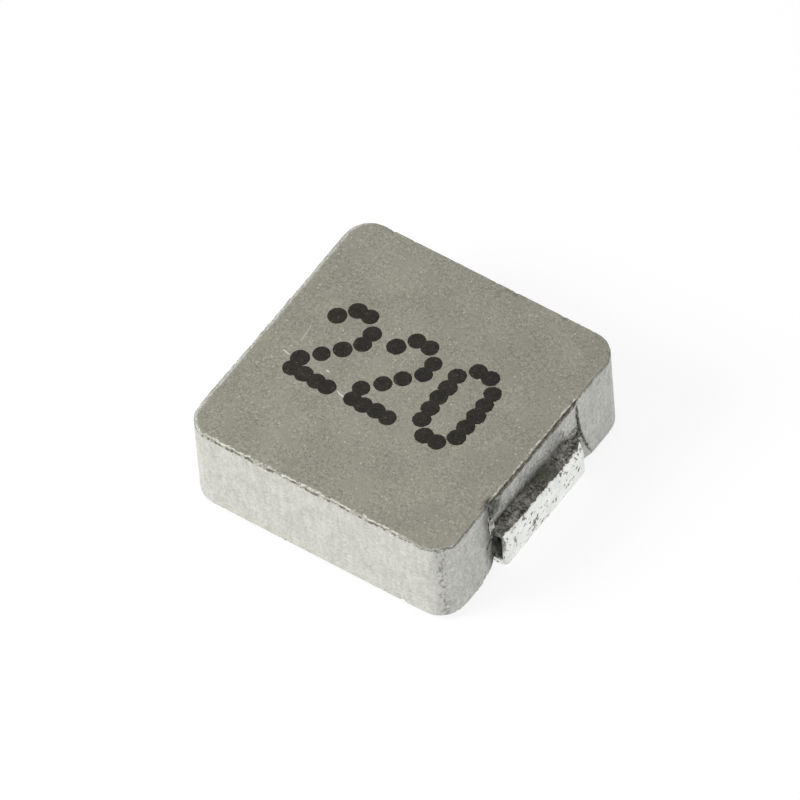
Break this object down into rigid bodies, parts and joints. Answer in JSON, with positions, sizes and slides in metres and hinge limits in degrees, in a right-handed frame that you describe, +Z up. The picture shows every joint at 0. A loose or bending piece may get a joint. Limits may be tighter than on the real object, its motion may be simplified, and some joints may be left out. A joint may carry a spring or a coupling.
{
  "type": "moulded surface-mount power inductor",
  "caption": "Square moulded power inductor: pressed alloy-powder block around a copper coil, with folded solder terminals at both ends.",
  "frame": {"origin": "midway between the two solder pads, on the board surface that they rest on", "axes": "+X from the left terminal to the right one, +Y across the block, +Z up from the board"},
  "size_m": [0.0054, 0.0052, 0.0019],
  "materials": {
    "pressed_powder": "pressed alloy powder in resin, fine matt grain",
    "copper_wire": "enamelled copper",
    "tin_plate": "bright tin plate on copper strip, with small pits"
  },
  "bodies": {
    "root": {"pressed_core": "pressed_powder", "wire_coil": "copper_wire", "left_terminal": "tin_plate", "right_terminal": "tin_plate"}
  },
  "joints": []
}
